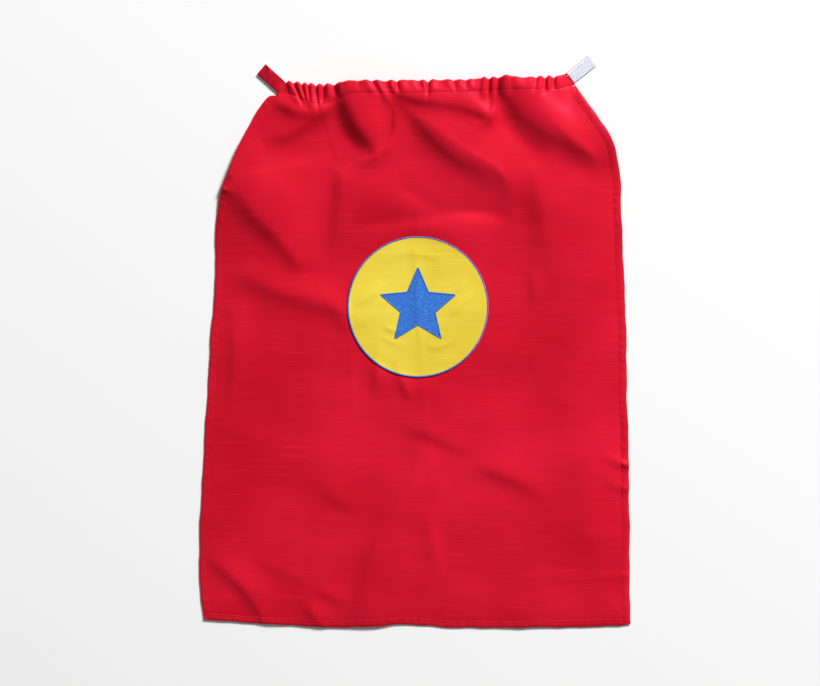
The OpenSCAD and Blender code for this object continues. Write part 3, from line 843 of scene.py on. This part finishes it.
u_share = np.linspace(-1, 1, int(2 * neck_half / CASING_STEP))
ring_rows = [(j / (FRONT_POINTS - 1), "front") for j in range(FRONT_POINTS)]
ring_rows += [(1 - j / (BACK_POINTS + 1), "back") for j in range(1, BACK_POINTS + 1)]
casing_rows = []
for rise, face in ring_rows:
    v_base = (rise - 0.5) * CASING_H
    left_end, right_end = casing_end(-1, v_base), casing_end(1, v_base)
    u = 0.5 * (right_end - left_end) * u_share + 0.5 * (right_end + left_end)
    v_level = v_base - (1 - rise) * seam_drop(u)
    place = neck_point(u, v_level + top_edge(u) * rise**2)
    level = neck_point(u, v_level)
    high = np.maximum(lift(level[:, 0], level[:, 1]) + CLOTH_T / 2, CASING_LOWEST)
    groove = seam_shows(u) * SEAM_GROOVE * np.exp(-(((rise * CASING_H - SEAM_UP) / SEAM_GROOVE_W) ** 2))
    puff = LAYER_T + PUFF * math.sin(math.pi * rise)
    puff -= LOWER_EDGE * math.exp(-((rise * CASING_H / LOWER_EDGE_W) ** 2))
    fold_over = max(rise - FOLD_OVER, 0) / (1 - FOLD_OVER)
    rounding = math.sqrt(max(1 - fold_over**2, 0))
    middle = MEET_SHARE * high
    if face == "front":
        z = middle + (high + puff - groove - middle) * rounding
    else:
        z = CASING_BACK + (middle - CASING_BACK) * (1 - rounding)
    casing_rows.append(with_height(place, z))
casing = tube("neck_casing_satin", np.stack(casing_rows, 1))
cut_u = np.repeat((u_share + 1) / 2 * CUT_WIDTH, len(ring_rows))
cut_v = np.tile(np.arange(len(ring_rows)) * CUT_STEP, len(u_share))
add_uv(casing, np.stack([cut_u, cut_v], 1))
casing.data.materials.append(red_satin)
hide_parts("neck_casing")
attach(casing, "upper_cape")

# Woven elastic: dull, off-white polyester over rubber, with ribs 2 mm apart across it.
elastic_weave, elastic_tree, elastic_shader = new_material("woven polyester elastic")
rib_place = add_node(elastic_tree, "ShaderNodeTexCoord")
ribs = add_node(
    elastic_tree, "ShaderNodeTexWave", {"Scale": math.pi / (10 * 2 * MM), "Distortion": 0.6},
    Vector=rib_place.outputs["Object"],
)
rib_bump = add_node(
    elastic_tree, "ShaderNodeBump", {"Strength": 0.6, "Distance": 0.5 * MM}, Height=ribs.outputs["Fac"]
)
elastic_tree.links.new(rib_bump.outputs["Normal"], elastic_shader.inputs["Normal"])
elastic_shader.inputs["Base Color"].default_value = linear("#EDEDEA")
elastic_shader.inputs["Roughness"].default_value = 0.85
ELASTIC_W = 12.0
ELASTIC_FROM, ELASTIC_TO = 1.1, 2.2
ELASTIC_INSET = 3  # it ends this far inside the casing
# Each pair is a place across the band, from -1 to 1, and a share of its thickness.
ELASTIC_SECTION = [
    (-1, 0.25), (-1, 0.75), (-0.97, 1), (0.97, 1), (1, 0.75), (1, 0.25), (0.97, 0), (-0.97, 0),
]
elastic_u = np.linspace(casing_end(-1, 0) + ELASTIC_INSET, casing_end(1, 0) - ELASTIC_INSET, 240)
elastic_rows = []
for across, level in ELASTIC_SECTION:
    place = neck_point(elastic_u, across * ELASTIC_W / 2 + 0.25 * np.sin(elastic_u / 2.4))
    elastic_rows.append(with_height(place, ELASTIC_FROM + level * (ELASTIC_TO - ELASTIC_FROM)))
elastic = tube("elastic_band", np.stack(elastic_rows, 1))
elastic.data.materials.append(elastic_weave)
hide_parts("neck_elastic")
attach(elastic, "upper_cape")


# ---------------------------------------------------------------- seam stitching
# Lockstitch in red polyester thread, a stitch every 2.6 mm along the hems and every 3 mm under
# the casing. Each stitch is a short, plump length of thread that dips into the cloth at its ends.
def thread(name, dark, light, roughness):
    """Twisted thread: soft gloss, and a shade that changes every millimetre or so along it."""
    material, tree, shader = new_material(name)
    place = add_node(tree, "ShaderNodeTexCoord")
    speckle = add_node(
        tree, "ShaderNodeTexNoise", {"Scale": 1 / (1.1 * MM), "Detail": 1.0}, Vector=place.outputs["Object"]
    )
    ramp = add_node(tree, "ShaderNodeValToRGB", Fac=speckle.outputs["Fac"])
    ramp.color_ramp.elements[0].position = 0.36
    ramp.color_ramp.elements[0].color = linear(dark)
    ramp.color_ramp.elements[1].position = 0.64
    ramp.color_ramp.elements[1].color = linear(light)
    tree.links.new(ramp.outputs["Color"], shader.inputs["Base Color"])
    shader.inputs["Roughness"].default_value = roughness
    shader.inputs["IOR"].default_value = 1.54
    shader.inputs["Specular IOR Level"].default_value = 0.3
    return material


# The thread's red is darker than the satin's. This is partly its own colour and partly painted shade of the
# grooves that the stitches sink into.
red_thread = thread("red spun polyester thread", "#8E0816", "#BC1024", 0.5)


def group_tree(name, sizes):
    """An empty Geometry Nodes tree with named inputs for sizes in mm, its input node and its output node."""
    tree = bpy.data.node_groups.new(name, "GeometryNodeTree")
    tree.interface.new_socket("Geometry", in_out="INPUT", socket_type="NodeSocketGeometry")
    for label, size in sizes.items():
        socket = tree.interface.new_socket(label, in_out="INPUT", socket_type="NodeSocketFloat")
        socket.default_value = size * MM
    tree.interface.new_socket("Material", in_out="INPUT", socket_type="NodeSocketMaterial")
    tree.interface.new_socket("Geometry", in_out="OUTPUT", socket_type="NodeSocketGeometry")
    return tree, tree.nodes.new("NodeGroupInput"), tree.nodes.new("NodeGroupOutput")


def finish_tree(tree, outgoing, geometry, material):
    """Ends a tree: real mesh, smooth faces and the piece's material."""
    real = add_node(tree, "GeometryNodeRealizeInstances", n0=geometry)
    smooth_faces = add_node(tree, "GeometryNodeSetShadeSmooth", n0=real.outputs[0])
    painted = add_node(tree, "GeometryNodeSetMaterial", n0=smooth_faces.outputs[0], Material=material)
    tree.links.new(painted.outputs[0], outgoing.inputs[0])


def grow(piece, tree, material, **sizes):
    """Runs a tree on a piece, with its inputs in millimetres, and keeps the result as a plain mesh."""
    modifier = piece.modifiers.new(tree.name, "NODES")
    modifier.node_group = tree
    values = {label: size * MM for label, size in sizes.items()}
    values["Material"] = material
    for item in tree.interface.items_tree:
        if item.item_type == "SOCKET" and item.in_out == "INPUT" and item.name in values:
            modifier[item.identifier] = values[item.name]
    apply_modifiers(piece)
    return piece


def stitch_row_tree():
    """Sets a stitch at every step along a line."""
    tree, given, result = group_tree("stitch_row", {"Pitch": 2.5, "Stitch": 2.1, "Thread": 0.5})
    curve = add_node(tree, "GeometryNodeMeshToCurve", n0=given.outputs["Geometry"])
    steps = add_node(
        tree, "GeometryNodeResampleCurve", {"mode": "LENGTH"},
        Curve=curve.outputs[0], Length=given.outputs["Pitch"],
    )
    tangent = add_node(tree, "GeometryNodeInputTangent")
    turn = add_node(tree, "FunctionNodeAlignRotationToVector", {"axis": "X"}, Vector=tangent.outputs[0])
    bead = add_node(tree, "GeometryNodeMeshUVSphere", {"Segments": 6, "Rings": 5, "Radius": 0.5})
    size = add_node(
        tree, "ShaderNodeCombineXYZ", X=given.outputs["Stitch"], Y=given.outputs["Thread"],
        Z=given.outputs["Thread"],
    )
    placed = add_node(
        tree, "GeometryNodeInstanceOnPoints", Points=steps.outputs[0], Instance=bead.outputs[0],
        Rotation=turn.outputs[0], Scale=size.outputs[0],
    )
    finish_tree(tree, result, placed.outputs[0], given.outputs["Material"])
    return tree


stitch_tree = stitch_row_tree()


def stitch_row(name, path, material, pitch=2.6, stitch=2.15, width=0.5, closed=False):
    """A row of stitches along a line of points."""
    count = len(path)
    edges = [(i, (i + 1) % count) for i in range(count if closed else count - 1)]
    piece = mesh_object(name, path, edges=edges)
    grow(piece, stitch_tree, material, Pitch=pitch, Stitch=stitch, Thread=width)
    return piece


HEM_STITCH_UP = 0.17  # middle of the thread, above the groove that it lies in
CASING_STITCH_UP = 0.12
HEM_STITCH_W = 0.62


def hem_row(name, path, inward_turn, width, first, last):
    """A hem's stitching, in its groove, from one of the hem's stations to another."""
    path, at, inward = hem_path(path, inward_turn)
    place = path + inward * width * STITCH_SHARE
    height = lift(place[:, 0], place[:, 1]) + HEM_STITCH_UP + GROOVE * (1 + PUCKER * pucker(at))
    line = with_height(place, height)[first:last]
    return stitch_row(name, line, red_thread, width=HEM_STITCH_W)


left_row = hem_row("left_hem_stitches", EDGE[-1], -1, LEFT_HEM_W, 4, -22)
right_row = hem_row("right_hem_stitches", EDGE[1], 1, RIGHT_HEM_W, 4, -22)
for row, side in ((left_row, "left"), (right_row, "right")):
    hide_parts(f"{side}_hem_stitching_upper", f"{side}_hem_stitching_lower")
    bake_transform(row)
bottom_row = hem_row("bottom_hem_stitches", bottom_line, 1, BOTTOM_HEM_W, 3, -3)
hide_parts("bottom_hem_stitching")
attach(bottom_row, "lower_cape")
# the casing's seam is only seen between the ruffles
seam_u = np.linspace(casing_end(-1, -CASING_H / 2) + 66, casing_end(1, -CASING_H / 2) - 12, 500)
seam_plan = neck_point(seam_u, -CASING_H / 2 + SEAM_UP - seam_drop(seam_u))
seam_z = lift(seam_plan[:, 0], seam_plan[:, 1]) + CLOTH_T / 2 + CASING_STITCH_UP
casing_line = with_height(seam_plan, seam_z)
casing_row = stitch_row("casing_stitches", casing_line, red_thread, pitch=3.0, stitch=2.3)
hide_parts("casing_stitching")
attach(casing_row, "upper_cape")


# ---------------------------------------------------------------- emblem
# A round patch of yellow satin on stiffening, edged with blue satin stitch, with an embroidered
# star. The patch follows the cloth under it, and keeps the creases of its folding.
BACKING_T = 0.4
PATCH_T = 0.7
PATCH_FROM = CLOTH_T / 2 + 0.15
PATCH_TOP = PATCH_FROM + BACKING_T + PATCH_T
BORDER_W = 1.8
# Faint creases of the patch's folding: x and y from its middle, height, and width on either side.
PATCH_CREASES = [
    [(-84, 4, 0, 12, 6), (-70, 8, 1.1, 12, 5), (-56, 18, 1.1, 12, 5), (-44, 32, 0, 12, 6)],
    [(-46, -22, 0, 4, 3), (-34, -30, 0.7, 4, 3), (-20, -32, 0.5, 4, 3), (-8, -30, 0, 4, 3)],
    [(-52, -36, 0, 5, 3), (-36, -44, 0.45, 5, 3), (-20, -50, 0, 5, 3)],
    [(38, -18, 0, 6, 3), (50, -4, 1.0, 6, 3), (62, 10, 1.0, 6, 3), (72, 24, 0, 6, 3)],
    [(46, 12, 0, 5, 3), (56, 26, 0.8, 5, 3), (64, 38, 0, 5, 3)],
    [(-6, 88, 0, 7, 4), (-4, 60, 0.45, 7, 4), (-2, 20, 0.4, 7, 4), (2, -30, 0.4, 7, 4), (4, -86, 0, 7, 4)],
    [(-40, 60, 0, 8, 4), (-18, 68, 0.5, 8, 4), (10, 66, 0.5, 8, 4), (34, 56, 0, 8, 4)],
    [(10, -48, 0, 4, 3), (24, -52, 0.7, 5, 3), (40, -46, 0.6, 5, 3), (52, -36, 0, 4, 3)],
]
crease_lines = [spline(stations) for stations in PATCH_CREASES]


def patch_lift(x, y):
    """Height of the satin's middle under the patch, and of the creases in the patch on it."""
    height = lift(x, y)
    for line in crease_lines:
        height = height + ridge(x - emblem_mid[0], y - emblem_mid[1], line)
    return height


def disc(name, rim, low, high, rings, material, level=lift):
    """A piece of cloth laid on the panel: the rim is in plan from the emblem's middle."""
    around = len(rim)
    share = np.linspace(0, 1, rings + 1)[1:]
    x = np.concatenate([[0], np.outer(share, rim[:, 0]).ravel()]) + emblem_mid[0]
    y = np.concatenate([[0], np.outer(share, rim[:, 1]).ravel()]) + emblem_mid[1]
    front = np.stack([x, y, level(x, y) + high], 1)
    back = np.stack([x, y, lift(x, y) + low], 1)
    under = len(x)  # each point of the back follows the front's by so many
    faces = []
    for i in range(around):
        j = (i + 1) % around
        faces += [(0, 1 + i, 1 + j), (under, under + 1 + j, under + 1 + i)]
        for r in range(rings - 1):
            a, b = 1 + r * around + i, 1 + r * around + j
            faces.append((a, a + around, b + around, b))
            faces.append((under + a, under + b, under + b + around, under + a + around))
        last = 1 + (rings - 1) * around
        faces.append((last + i, under + last + i, under + last + j, last + j))
    piece = mesh_object(name, np.concatenate([front, back]), faces)
    add_uv(piece, np.tile(np.stack([x, y], 1), (2, 1)))
    piece.data.materials.append(material)
    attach(piece, "upper_cape")
    return piece


def spokes(count):
    """Directions out from the emblem's middle, evenly spaced."""
    turn = np.linspace(0, 2 * math.pi, count, endpoint=False)
    return np.stack([np.cos(turn), np.sin(turn)], 1)


# Non-woven stiffening: matt, off-white felted fibres, 0.7 mm apart.
stiffening, felt_tree, felt_shader = new_material("white non-woven stiffening")
felt_place = add_node(felt_tree, "ShaderNodeTexCoord")
felt_fibres = add_node(
    felt_tree, "ShaderNodeTexNoise", {"Scale": 1 / (0.7 * MM), "Detail": 4.0},
    Vector=felt_place.outputs["Object"],
)
felt_bump = add_node(
    felt_tree, "ShaderNodeBump", {"Strength": 0.5, "Distance": 0.4 * MM}, Height=felt_fibres.outputs["Fac"]
)
felt_tree.links.new(felt_bump.outputs["Normal"], felt_shader.inputs["Normal"])
felt_shader.inputs["Base Color"].default_value = linear("#EFEFEC")
felt_shader.inputs["Roughness"].default_value = 0.95
backing = disc(
    "emblem_stiffening", (emblem_r - BORDER_W - 0.6) * spokes(120), PATCH_FROM, PATCH_FROM + BACKING_T, 30,
    stiffening,
)
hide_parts("emblem_backing")
yellow_satin = satin("yellow polyester satin", "#E4C639", "#F3DC4E", "#FFF6B0")
patch = disc(
    "emblem_patch_satin", (emblem_r - BORDER_W / 2) * spokes(220), PATCH_FROM + BACKING_T, PATCH_TOP, 60,
    yellow_satin, patch_lift,
)
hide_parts("emblem_patch")


def thread_tree():
    """Lays a length of thread at each vertex, along its "way", as long as its "reach"."""
    tree, given, result = group_tree("laid_threads", {"Width": 0.5, "Height": 0.4})
    way = add_node(tree, "GeometryNodeInputNamedAttribute", {"data_type": "FLOAT_VECTOR", "Name": "way"})
    reach = add_node(tree, "GeometryNodeInputNamedAttribute", {"data_type": "FLOAT", "Name": "reach"})
    turn = add_node(tree, "FunctionNodeAlignRotationToVector", {"axis": "X"}, Vector=way.outputs[0])
    bead = add_node(tree, "GeometryNodeMeshUVSphere", {"Segments": 6, "Rings": 4, "Radius": 0.5})
    size = add_node(
        tree, "ShaderNodeCombineXYZ", X=reach.outputs[0], Y=given.outputs["Width"], Z=given.outputs["Height"]
    )
    placed = add_node(
        tree, "GeometryNodeInstanceOnPoints", Points=given.outputs["Geometry"], Instance=bead.outputs[0],
        Rotation=turn.outputs[0], Scale=size.outputs[0],
    )
    finish_tree(tree, result, placed.outputs[0], given.outputs["Material"])
    return tree


laid_threads = thread_tree()
# Rayon embroidery thread is a little glossier than sewing thread, in a clear, light blue.
blue_thread = thread("blue rayon embroidery thread", "#2A64C8", "#5098F0", 0.45)
THREAD_GAP = 0.42


def lay_threads(name, middles, above, ways, reach, width, height):
    """Embroidery on the patch: middles and ways of the threads in plan, and how far above it they lie."""
    step = 0.6
    x, y = middles.T
    ahead = lift(x + step * ways[:, 0], y + step * ways[:, 1])
    behind = lift(x - step * ways[:, 0], y - step * ways[:, 1])
    piece = mesh_object(name, with_height(middles, patch_lift(x, y) + PATCH_TOP + above))
    lying = with_height(ways, (ahead - behind) / (2 * step))
    way = piece.data.attributes.new("way", "FLOAT_VECTOR", "POINT")
    way.data.foreach_set("vector", lying.astype(np.float32).ravel())
    length = piece.data.attributes.new("reach", "FLOAT", "POINT")
    length.data.foreach_set("value", np.full(len(middles), reach * MM, np.float32))
    return grow(piece, laid_threads, blue_thread, Width=width, Height=height)


def join(pieces, material):
    """Joins pieces of one material into the first one."""
    whole = bmesh.new()
    for piece in pieces:
        whole.from_mesh(piece.data)
    for face in whole.faces:
        face.material_index = 0
    whole.to_mesh(pieces[0].data)
    whole.free()
    pieces[0].data.materials.clear()
    pieces[0].data.materials.append(material)
    for piece in pieces[1:]:
        bpy.data.objects.remove(piece)
    return pieces[0]


border_ways = spokes(int(2 * math.pi * emblem_r / THREAD_GAP))
border = lay_threads(
    "emblem_border_stitches", emblem_mid + border_ways * (emblem_r - BORDER_W / 2), 0.05, border_ways,
    BORDER_W + 0.3, 0.55, 0.6,
)
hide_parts("emblem_border")
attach(border, "upper_cape")

STAR_R = 50.0
NOTCH_R = 23.0
UNDERLAY_T = 0.15  # rows of thread laid first, so that no satin shows between the stitches
FILL_TURN = math.radians(24)
FILL_LENGTH = 3.6
OUTLINE_W = 2.2
corners = np.arange(10)
star_turn = math.pi / 2 + corners * math.pi / 5
star_reach = np.where(corners % 2 == 0, STAR_R, NOTCH_R)
star = np.stack([star_reach * np.cos(star_turn), star_reach * np.sin(star_turn)], 1)
star_sides = list(zip(star, np.roll(star, -1, axis=0)))


def inside_star(points):
    """Whether points lie inside the star."""
    odd = np.zeros(len(points), bool)
    for a, b in star_sides:
        crosses = (a[1] > points[:, 1]) != (b[1] > points[:, 1])
        at = a[0] + (points[:, 1] - a[1]) / (b[1] - a[1] + 1e-12) * (b[0] - a[0])
        odd ^= crosses & (points[:, 0] < at)
    return odd


# The fill is laid in slanting rows, each a quarter of a stitch on from the last.
fill_way = np.array([math.cos(FILL_TURN), math.sin(FILL_TURN)])
fill_side = np.array([-fill_way[1], fill_way[0]])
row_at = np.arange(-60, 60, THREAD_GAP)
step_at = np.arange(-60, 60, FILL_LENGTH)
row_grid, step_grid = np.meshgrid(row_at, step_at, indexing="ij")
step_grid = step_grid + (np.arange(len(row_at)) % 4)[:, None] * FILL_LENGTH / 4
places = row_grid.reshape(-1, 1) * fill_side + step_grid.reshape(-1, 1) * fill_way
places = places[inside_star(places)]
fill = lay_threads(
    "emblem_star_stitches", places + emblem_mid, UNDERLAY_T, np.tile(fill_way, (len(places), 1)),
    FILL_LENGTH * 0.98, 0.5, 0.4,
)
outline_places, outline_ways = [], []
for a, b in star_sides:
    side_length = np.linalg.norm(b - a)
    along = (b - a) / side_length
    for i in range(int(side_length / THREAD_GAP)):
        outline_places.append(a + along * (i + 0.5) * THREAD_GAP)
        outline_ways.append([-along[1], along[0]])
outline = lay_threads(
    "star_outline", np.array(outline_places) + emblem_mid, UNDERLAY_T + 0.1, np.array(outline_ways),
    OUTLINE_W, 0.5, 0.65,
)
side_steps = np.linspace(0, 1, 12, endpoint=False)[:, None]
star_rim = np.concatenate([a + (b - a) * side_steps for a, b in star_sides])
underlay = disc(
    "star_underlay", star_rim, PATCH_TOP - 0.1, PATCH_TOP + UNDERLAY_T, 26,
    blue_thread, patch_lift,
)
star_piece = join([fill, outline, underlay], blue_thread)
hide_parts("emblem_star")
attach(star_piece, "upper_cape")


# ---------------------------------------------------------------- tabs
# Two straps of folded satin are sewn into the ends of the casing. The right one carries the hook
# tape on its front and the left one the loop tape on its back, each stitched round its edge.
TAB_W = 17.0
TAB_LEN = 36.0
TAB_ROOT = 9.0  # the length that is sewn into the casing
TAB_TILT = 0.22  # the left tab lies a little turned, with its upper edge off the floor
TAPE_W = 16.0
TAPE_LEN = 34.0
TAPE_FROM = 1.5
STRIP_STATIONS = 110
STRIP_AROUND = 28
SQUARE_END = 0.15  # a strip's ends are cut square, and rounded only over this length
END_INSET = 0.35
EDGE_POWER, FACE_POWER = 0.35, 0.5  # the lower these are, the squarer a strip's section
CREASE_AT, CREASE_SLANT, CREASE_W = 5.5, 0.42, 1.3


def on_tab(seam, way, x, y):
    """The place in plan of a point x out from a tab's seam and y across it."""
    side_way = np.array([-way[1], way[0]])
    return seam[:2] + np.asarray(x)[..., None] * way + np.asarray(y)[..., None] * side_way


def tilted(x, y, tilt):
    """Rise of a tab that lies turned, at x out from its seam and y across it."""
    return tilt * smooth(0, 14, x) * (TAB_W / 2 - y)


def strip(name, seam, way, x_range, width, z_range, material, crown=0.0, crease=0.0, tilt=0.0):
    """A flat, soft-edged strip along a tab. Its front may be crowned, and creased across."""
    x_line = np.linspace(*x_range, STRIP_STATIONS)
    x_line = np.concatenate([
        [x_range[0], x_range[0] + SQUARE_END], x_line[1:-1], [x_range[1] - SQUARE_END, x_range[1]]
    ])
    half_line = np.full(len(x_line), width / 2)
    half_line[[0, -1]] -= END_INSET
    turn = np.linspace(0, 2 * math.pi, STRIP_AROUND, endpoint=False)
    cos, sin = np.cos(turn), np.sin(turn)
    low, high = z_range
    rings = []
    for x, half in zip(x_line, half_line):
        y = half * np.sign(cos) * np.abs(cos) ** EDGE_POWER
        z = 0.5 * (high + low) + 0.5 * (high - low) * np.sign(sin) * np.abs(sin) ** FACE_POWER
        from_crease = y - CREASE_AT + CREASE_SLANT * x
        front = crown * (1 - (y / half) ** 2) + crease * np.exp(-((from_crease / CREASE_W) ** 2))
        z = z + np.where(sin > 0, front, 0) + tilted(x, y, tilt)
        rings.append(with_height(on_tab(seam, way, x, y), z))
    piece = tube(name, np.stack(rings))
    across = np.tile(cos * TAB_W, len(rings))
    add_uv(piece, np.stack([across, np.repeat(x_line, STRIP_AROUND)], 1))
    piece.data.materials.append(material)
    return piece


STRAP_X = (-TAB_ROOT, TAB_LEN)
left_strap = strip(
    "left_tab_satin", left_seam, left_way, STRAP_X, TAB_W, (1.2, 2.3), red_satin,
    crown=0.25, crease=0.9, tilt=TAB_TILT,
)
right_strap = strip(
    "right_tab_satin", right_seam, right_way, STRAP_X, TAB_W, (0.05, 1.0), red_satin
)


def nylon(name, colour):
    """Woven nylon tape: a dull, white ground with ribs 1.2 mm apart, drawn twice as coarse as they are."""
    material, tree, shader = new_material(name)
    place = add_node(tree, "ShaderNodeTexCoord").outputs["Object"]
    ribs = add_node(
        tree, "ShaderNodeTexWave", {"Scale": math.pi / (10 * 1.2 * MM), "Distortion": 0.8}, Vector=place
    )
    cloud = add_node(tree, "ShaderNodeTexNoise", {"Scale": 1 / (6 * MM)}, Vector=place)
    ramp = add_node(tree, "ShaderNodeValToRGB", Fac=cloud.outputs["Fac"])
    ramp.color_ramp.elements[0].color = linear("#E3E8FA")
    ramp.color_ramp.elements[1].color = linear(colour)
    tree.links.new(ramp.outputs["Color"], shader.inputs["Base Color"])
    bump = add_node(
        tree, "ShaderNodeBump", {"Strength": 0.4, "Distance": 0.3 * MM}, Height=ribs.outputs["Fac"]
    )
    tree.links.new(bump.outputs["Normal"], shader.inputs["Normal"])
    shader.inputs["Roughness"].default_value = 0.6
    shader.inputs["IOR"].default_value = 1.53
    return material


hook_nylon = nylon("white nylon hook tape", "#F4F6FF")
loop_nylon = nylon("white nylon loop tape", "#F0F1F6")
TAPE_X = (TAPE_FROM, TAPE_FROM + TAPE_LEN)
hook_base = strip(
    "hook_tape_weave", right_seam, right_way, TAPE_X, TAPE_W, (1.0, 1.8), hook_nylon
)
loop_base = strip(
    "loop_tape_weave", left_seam, left_way, TAPE_X, TAPE_W, (0.5, 1.2), loop_nylon, tilt=TAB_TILT
)


PILE_SPIN = 0.3


def pile_tree():
    """Grows bent filaments on a grid of points: hooks, or loops that reach back to the tape."""
    tree, given, result = group_tree("tape_pile", {"Tall": 1.0, "Bend": 0.7, "Foot": 0.4, "Filament": 0.1})
    middle = add_node(tree, "ShaderNodeCombineXYZ", Z=given.outputs["Tall"])
    end = add_node(tree, "ShaderNodeCombineXYZ", X=given.outputs["Bend"], Z=given.outputs["Foot"])
    arc = add_node(
        tree, "GeometryNodeCurveQuadraticBezier", {"Resolution": 6, "Start": (0, 0, 0)},
        Middle=middle.outputs[0], End=end.outputs[0],
    )
    round_line = add_node(
        tree, "GeometryNodeCurvePrimitiveCircle", {"Resolution": 4}, Radius=given.outputs["Filament"]
    )
    hook = add_node(
        tree, "GeometryNodeCurveToMesh", {"Fill Caps": True}, Curve=arc.outputs[0], n1=round_line.outputs[0]
    )
    # each filament is turned a little, from none to the value of input 3
    wild = add_node(tree, "FunctionNodeRandomValue", {"data_type": "FLOAT", "Seed": 7, 3: PILE_SPIN})
    turn = add_node(tree, "ShaderNodeCombineXYZ", Z=wild.outputs[1])
    placed = add_node(
        tree, "GeometryNodeInstanceOnPoints", Points=given.outputs["Geometry"], Instance=hook.outputs[0],
        Rotation=turn.outputs[0],
    )
    finish_tree(tree, result, placed.outputs[0], given.outputs["Material"])
    return tree


tape_pile = pile_tree()


SELVEDGE = 2.4
PILE_FROM = 1.2


def pile(name, seam, way, z, spacing, material, tilt=0.0, **shape):
    """A grid of hooks or loops over a tape, inside its selvedges."""
    x, y = np.meshgrid(
        np.arange(TAPE_FROM + PILE_FROM, TAPE_FROM + TAPE_LEN - 1.0, spacing),
        np.arange(-TAPE_W / 2 + SELVEDGE, TAPE_W / 2 - 2.0, spacing),
    )
    places = with_height(on_tab(seam, way, x, y), z + tilted(x, y, tilt))
    return grow(mesh_object(name, places.reshape(-1, 3)), tape_pile, material, **shape)


hooks = pile(
    "hooks", right_seam, right_way, 1.75, 1.25, hook_nylon, Tall=1.7, Bend=0.75, Foot=0.45, Filament=0.12
)
hook_tape = join([hook_base, hooks], hook_nylon)
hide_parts("right_hook_tape")
loops = pile(
    "loops", left_seam, left_way, 0.55, 1.0, loop_nylon, TAB_TILT, Tall=-1.1, Bend=0.8, Foot=0.0, Filament=0.1
)
loop_tape = join([loop_base, loops], loop_nylon)
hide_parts("left_loop_tape")
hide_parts("left_tab_strap")
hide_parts("right_tab_strap")

STITCH_INSET = 1.4


def tape_row(name, seam, way, z, material, tilt=0.0):
    """A closed row of stitches round a tape, inside its edge."""
    x0, x1 = TAPE_FROM + STITCH_INSET, TAPE_FROM + TAPE_LEN - STITCH_INSET
    half = TAPE_W / 2 - STITCH_INSET
    corners = np.array([(x0, -half), (x1, -half), (x1, half), (x0, half), (x0, -half)])
    x, y = evenly(corners, 1.0)[0][:-1].T
    path = with_height(on_tab(seam, way, x, y), z + tilted(x, y, tilt))
    return stitch_row(name, path, material, width=0.45, closed=True)


white_thread = thread("white polyester thread", "#DADCE6", "#F6F6FA", 0.5)
left_tape_row = tape_row("left_tape_stitches", left_seam, left_way, 2.42, red_thread, TAB_TILT)
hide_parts("left_tape_stitching")
right_tape_row = tape_row("right_tape_stitches", right_seam, right_way, 1.9, white_thread)
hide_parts("right_tape_stitching")

TACK_HALF = 6.0
TACK_Z = 3.75
tab_sets = [
    ("left_tab", left_seam, left_way, [left_strap, loop_tape, left_tape_row]),
    ("right_tab", right_seam, right_way, [right_strap, hook_tape, right_tape_row]),
]
for body, seam, way, pieces in tab_sets:
    for piece in pieces:
        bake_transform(piece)
    # a bar tack holds the strap's root: two short rows of close stitches across it
    tack_rows = []
    for back in (2.2, 4.6):
        ends = with_height(on_tab(seam, way, -back, [-TACK_HALF, TACK_HALF]), TACK_Z)
        tack_rows.append(stitch_row(
            f"{body}_tack_{back:.0f}", ends, red_thread, pitch=2.0, stitch=1.7, width=0.45
        ))
    tack = join(tack_rows, red_thread)
    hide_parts(f"{body}_tack")
    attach(tack, "upper_cape")
